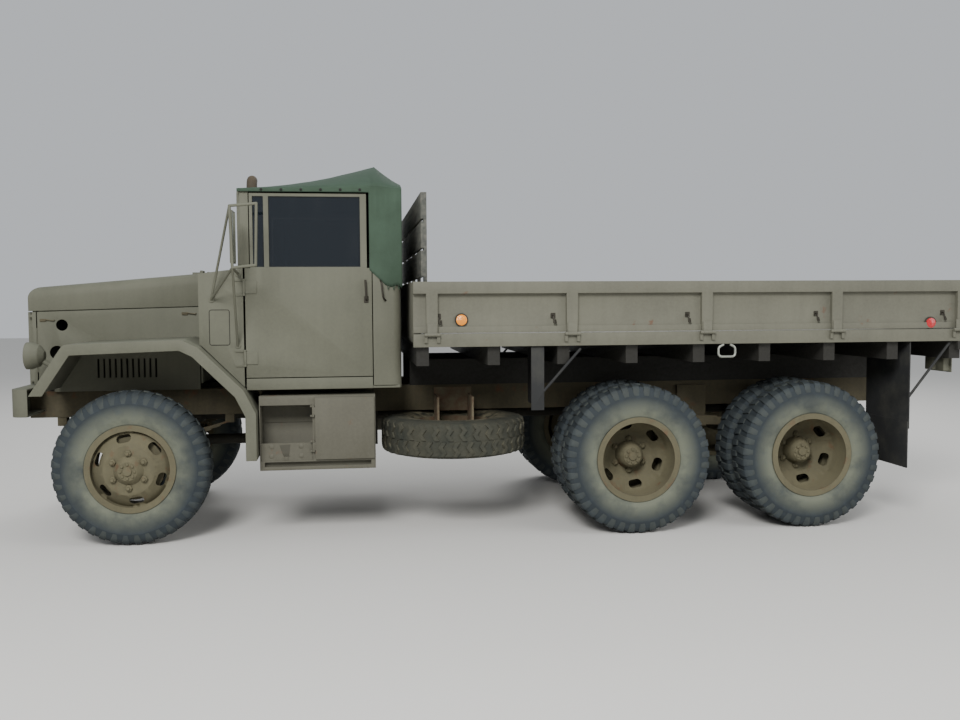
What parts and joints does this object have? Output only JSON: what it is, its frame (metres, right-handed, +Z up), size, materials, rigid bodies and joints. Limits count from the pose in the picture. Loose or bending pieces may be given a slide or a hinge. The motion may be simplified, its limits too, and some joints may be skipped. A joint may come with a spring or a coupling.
{
  "type": "military cargo truck",
  "caption": "Six-wheel-drive military cargo truck with canvas-topped two-door cab, flat hood and steel drop-side bed.",
  "frame": {"origin": "on the ground under the middle of the truck's length and width", "axes": "+X forward, +Y to the driver's left, +Z up"},
  "size_m": [6.4244, 2.578, 2.6352],
  "materials": {
    "paint": "matt olive drab, dusty",
    "canvas": "weathered green canvas",
    "glass": "dark tinted",
    "tyre": "dusty lugged rubber",
    "iron": "oily black",
    "wood": "dark painted boards",
    "seat": "padded canvas",
    "pipe": "heat-stained steel"
  },
  "bodies": {
    "chassis": {"air_cleaner": "paint", "battery_box": "paint", "bed_deck": "paint", "bed_front_wall": "paint", "cab_back": "paint", "cab_floor": "paint", "canvas_top": "canvas", "cowl": "paint", "crossmembers": "paint", "driveline": "iron", "engine": "iron", "engine_side_panels": "paint", "exhaust_stack": "pipe", "fender_left": "paint", "fender_right": "paint", "frame_rail_left": "paint", "frame_rail_right": "paint", "front_axle": "paint", "front_bumper": "paint", "front_rack": "wood", "grille": "paint", "lamps": "paint", "leaf_springs": "paint", "mirrors": "paint", "radiator": "iron", "rear_axles": "paint", "seats": "seat", "spare_carrier": "paint", "spare_tyre": "tyre", "splash_guards": "paint", "tanks": "paint", "toolbox": "paint", "windshield_frame": "paint", "windshield_glass": "glass"},
    "left_knuckle": {"knuckle_left": "paint"},
    "right_knuckle": {"knuckle_right": "paint"},
    "tie_rod": {"tie_rod": "paint"},
    "front_left_wheel": {"front_wheel_left": "paint", "front_tyre_left": "tyre"},
    "front_right_wheel": {"front_wheel_right": "paint", "front_tyre_right": "tyre"},
    "middle_left_wheels": {"middle_wheels_left": "paint", "middle_tyres_left": "tyre"},
    "middle_right_wheels": {"middle_wheels_right": "paint", "middle_tyres_right": "tyre"},
    "rear_left_wheels": {"rear_wheels_left": "paint", "rear_tyres_left": "tyre"},
    "rear_right_wheels": {"rear_wheels_right": "paint", "rear_tyres_right": "tyre"},
    "left_door": {"door_left": "paint", "door_glass_left": "glass"},
    "right_door": {"door_right": "paint", "door_glass_right": "glass"},
    "hood": {"hood": "paint"},
    "left_drop_side": {"drop_side_left": "paint"},
    "right_drop_side": {"drop_side_right": "paint"},
    "tailgate": {"tailgate": "paint"},
    "toolbox_door": {"toolbox_door": "paint"},
    "steering_wheel": {"steering_wheel": "iron"}
  },
  "joints": [
    {"name": "left_steer", "type": "hinge", "parent": "chassis", "child": "left_knuckle", "pos_m": [2.43725, 0.69, 0.502], "axis": [0, 0, 1], "range_deg": [-28, 28]},
    {"name": "right_steer", "type": "hinge", "parent": "chassis", "child": "right_knuckle", "pos_m": [2.43725, -0.69, 0.502], "axis": [0, 0, 1], "range_deg": [-28, 28]},
    {"name": "tie_rod_turn", "type": "hinge", "parent": "left_knuckle", "child": "tie_rod", "pos_m": [2.22725, 0.69, 0.502], "axis": [0, 0, 1], "range_deg": [-28, 28]},
    {"name": "steering_wheel_turn", "type": "hinge", "parent": "chassis", "child": "steering_wheel", "pos_m": [1.42725, 0.43, 1.675], "axis": [-0.5, 0, 0.866], "range_deg": [-560, 560]},
    {"name": "front_left_wheel_turn", "type": "hinge", "parent": "left_knuckle", "child": "front_left_wheel", "pos_m": [2.43725, 0.862, 0.502], "axis": [0, 1, 0], "continuous": true},
    {"name": "front_right_wheel_turn", "type": "hinge", "parent": "right_knuckle", "child": "front_right_wheel", "pos_m": [2.43725, -0.862, 0.502], "axis": [0, 1, 0], "continuous": true},
    {"name": "middle_left_wheels_turn", "type": "hinge", "parent": "chassis", "child": "middle_left_wheels", "pos_m": [-0.86525, 0.89, 0.502], "axis": [0, 1, 0], "continuous": true},
    {"name": "middle_right_wheels_turn", "type": "hinge", "parent": "chassis", "child": "middle_right_wheels", "pos_m": [-0.86525, -0.89, 0.502], "axis": [0, 1, 0], "continuous": true},
    {"name": "rear_left_wheels_turn", "type": "hinge", "parent": "chassis", "child": "rear_left_wheels", "pos_m": [-2.08425, 0.89, 0.502], "axis": [0, 1, 0], "continuous": true},
    {"name": "rear_right_wheels_turn", "type": "hinge", "parent": "chassis", "child": "rear_right_wheels", "pos_m": [-2.08425, -0.89, 0.502], "axis": [0, 1, 0], "continuous": true},
    {"name": "left_door_swing", "type": "hinge", "parent": "chassis", "child": "left_door", "pos_m": [1.70225, 0.994, 1.4325], "axis": [0, 0, -1], "range_deg": [0, 60]},
    {"name": "right_door_swing", "type": "hinge", "parent": "chassis", "child": "right_door", "pos_m": [1.70225, -0.994, 1.4325], "axis": [0, 0, 1], "range_deg": [0, 60]},
    {"name": "hood_lift", "type": "hinge", "parent": "chassis", "child": "hood", "pos_m": [2.05725, 0, 1.78], "axis": [0, -1, 0], "range_deg": [0, 55]},
    {"name": "left_side_drop", "type": "hinge", "parent": "chassis", "child": "left_drop_side", "pos_m": [-1.26275, 1.232, 1.35], "axis": [-1, 0, 0], "range_deg": [0, 180]},
    {"name": "right_side_drop", "type": "hinge", "parent": "chassis", "child": "right_drop_side", "pos_m": [-1.26275, -1.232, 1.35], "axis": [1, 0, 0], "range_deg": [0, 180]},
    {"name": "tailgate_drop", "type": "hinge", "parent": "chassis", "child": "tailgate", "pos_m": [-3.19025, 0, 1.338], "axis": [0, -1, 0], "range_deg": [0, 180]},
    {"name": "toolbox_door_swing", "type": "hinge", "parent": "chassis", "child": "toolbox_door", "pos_m": [1.27625, 1.01, 0.742], "axis": [0, 0, -1], "range_deg": [0, 110]}
  ],
  "couplings": [
    {"joint": "right_steer", "follows": "left_steer", "ratio": 1},
    {"joint": "tie_rod_turn", "follows": "left_steer", "ratio": -1},
    {"joint": "steering_wheel_turn", "follows": "left_steer", "ratio": 20}
  ]
}
